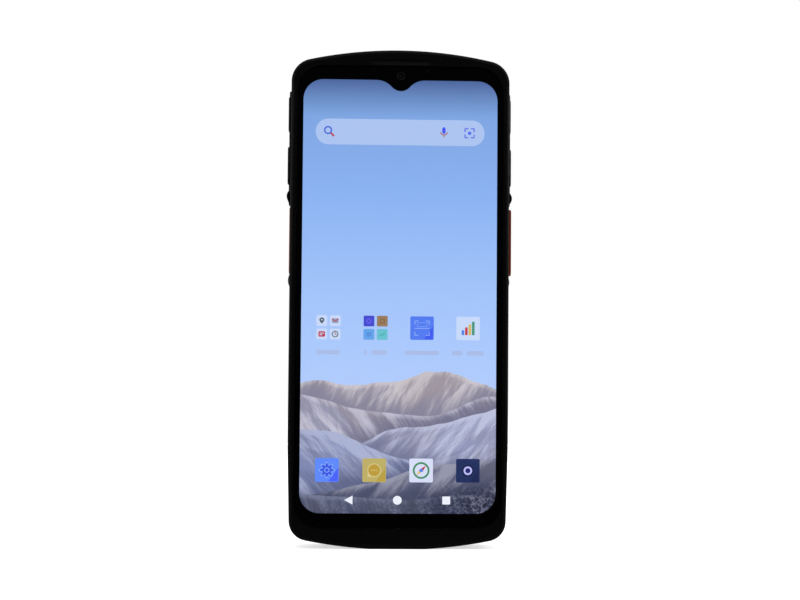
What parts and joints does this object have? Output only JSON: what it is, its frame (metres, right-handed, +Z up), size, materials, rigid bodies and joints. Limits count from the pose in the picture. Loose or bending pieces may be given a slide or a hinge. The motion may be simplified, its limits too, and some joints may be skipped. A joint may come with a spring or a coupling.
{
  "type": "barcode data terminal",
  "caption": "Rugged hand-held barcode data terminal: a full-face display in a black case, scanner in the head, side scan keys, hinged battery door and port cover.",
  "frame": {"origin": "under the middle of the foot, on the surface it stands on, mid-depth of the case", "axes": "+Z up from the foot to the head, -Y out of the display, +Y out of the back, +X to the right seen from the front"},
  "size_m": [0.0793, 0.017, 0.1736],
  "materials": {
    "case_plastic": "fine matt texture",
    "bumper_rubber": "soft matt",
    "cover_glass": "polished, clear",
    "black_film": "deep black print",
    "display": "lit display",
    "camera_plastic": "gloss black",
    "lens_glass": "coated lens",
    "camera_ring": "dark anodised",
    "steel_mesh": "woven mesh",
    "bright_steel": "satin",
    "black_steel": "black oxide",
    "black_parts": "moulded",
    "lamp_plastic": "clear moulded",
    "lamp_yellow": "phosphor",
    "circuit_board": "solder mask",
    "flex_film": "polyimide film",
    "frame_metal": "die cast",
    "scan_key_orange": "satin",
    "key_black": "satin",
    "scan_window_red": "dark red filter",
    "gold_contacts": "gold plated",
    "battery_wrap": "wrapped cell",
    "seal_rubber": "matt"
  },
  "bodies": {
    "case": {"battery_connector": "black_parts", "battery_contacts": "gold_contacts", "battery_door_pin": "bright_steel", "battery_door_seal": "seal_rubber", "battery_pack": "battery_wrap", "board_chips": "black_parts", "board_screws": "bright_steel", "bottom_bumper": "bumper_rubber", "charge_led": "lamp_plastic", "cover_glass": "cover_glass", "display_gasket": "black_film", "earpiece_mesh": "steel_mesh", "earpiece_receiver": "bright_steel", "flash_led": "lamp_yellow", "flash_lens": "lamp_plastic", "front_camera": "camera_plastic", "front_housing": "case_plastic", "housing_screws": "black_steel", "housing_seal": "seal_rubber", "key_board_left": "circuit_board", "key_board_right": "circuit_board", "key_switches": "black_parts", "lcd_panel": "display", "light_sensor": "black_parts", "loudspeaker": "black_parts", "main_flex": "flex_film", "mainboard": "circuit_board", "microphone": "black_parts", "mid_frame": "frame_metal", "nfc_antenna": "flex_film", "pogo_block": "black_parts", "pogo_contacts": "gold_contacts", "rear_camera": "camera_plastic", "rear_camera_glass": "lens_glass", "rear_camera_ring": "camera_ring", "rear_housing": "case_plastic", "scan_engine": "black_parts", "scan_engine_lens": "lens_glass", "scan_window": "scan_window_red", "scan_window_frame": "black_parts", "shield_cans": "bright_steel", "side_rail_left": "bumper_rubber", "side_rail_right": "bumper_rubber", "sim_card_holder": "bright_steel", "speaker_mesh": "steel_mesh", "sub_board": "circuit_board", "top_bumper": "bumper_rubber", "usb_flap_pin": "bright_steel", "usb_socket": "bright_steel", "usb_tongue": "black_parts", "vibration_motor": "bright_steel"},
    "battery_door": {"battery_door": "case_plastic"},
    "battery_latch": {"battery_latch": "case_plastic"},
    "function_key": {"function_key": "key_black"},
    "power_key": {"power_key": "key_black"},
    "scan_key_left": {"scan_key_left": "scan_key_orange"},
    "scan_key_right": {"scan_key_right": "scan_key_orange"},
    "usb_flap": {"usb_flap": "bumper_rubber"},
    "volume_down_key": {"volume_down_key": "key_black"},
    "volume_up_key": {"volume_up_key": "key_black"}
  },
  "joints": [
    {"name": "scan_key_right_press", "type": "slide", "parent": "case", "child": "scan_key_right", "axis": [-1, 0, 0], "range_m": [0, 0.0004], "stiffness_N_per_m": 6000, "springref_m": -0.0001},
    {"name": "scan_key_left_press", "type": "slide", "parent": "case", "child": "scan_key_left", "axis": [1, 0, 0], "range_m": [0, 0.0004], "stiffness_N_per_m": 6000, "springref_m": -0.0001},
    {"name": "power_key_press", "type": "slide", "parent": "case", "child": "power_key", "axis": [-1, 0, 0], "range_m": [0, 0.0004], "stiffness_N_per_m": 5000, "springref_m": -0.0001},
    {"name": "function_key_press", "type": "slide", "parent": "case", "child": "function_key", "axis": [-1, 0, 0], "range_m": [0, 0.0004], "stiffness_N_per_m": 5000, "springref_m": -0.0001},
    {"name": "volume_up_key_press", "type": "slide", "parent": "case", "child": "volume_up_key", "axis": [1, 0, 0], "range_m": [0, 0.0004], "stiffness_N_per_m": 5000, "springref_m": -0.0001},
    {"name": "volume_down_key_press", "type": "slide", "parent": "case", "child": "volume_down_key", "axis": [1, 0, 0], "range_m": [0, 0.0004], "stiffness_N_per_m": 5000, "springref_m": -0.0001},
    {"name": "battery_door_swing", "type": "hinge", "parent": "case", "child": "battery_door", "pos_m": [0, 0.0071, 0.0256], "axis": [-1, 0, 0], "range_deg": [0, 90]},
    {"name": "battery_latch_slide", "type": "slide", "parent": "battery_door", "child": "battery_latch", "axis": [0, 0, 1], "range_m": [0, 0.0026]},
    {"name": "usb_flap_swing", "type": "hinge", "parent": "case", "child": "usb_flap", "pos_m": [0, 0.0072, 0.0013], "axis": [1, 0, 0], "range_deg": [0, 180]}
  ]
}
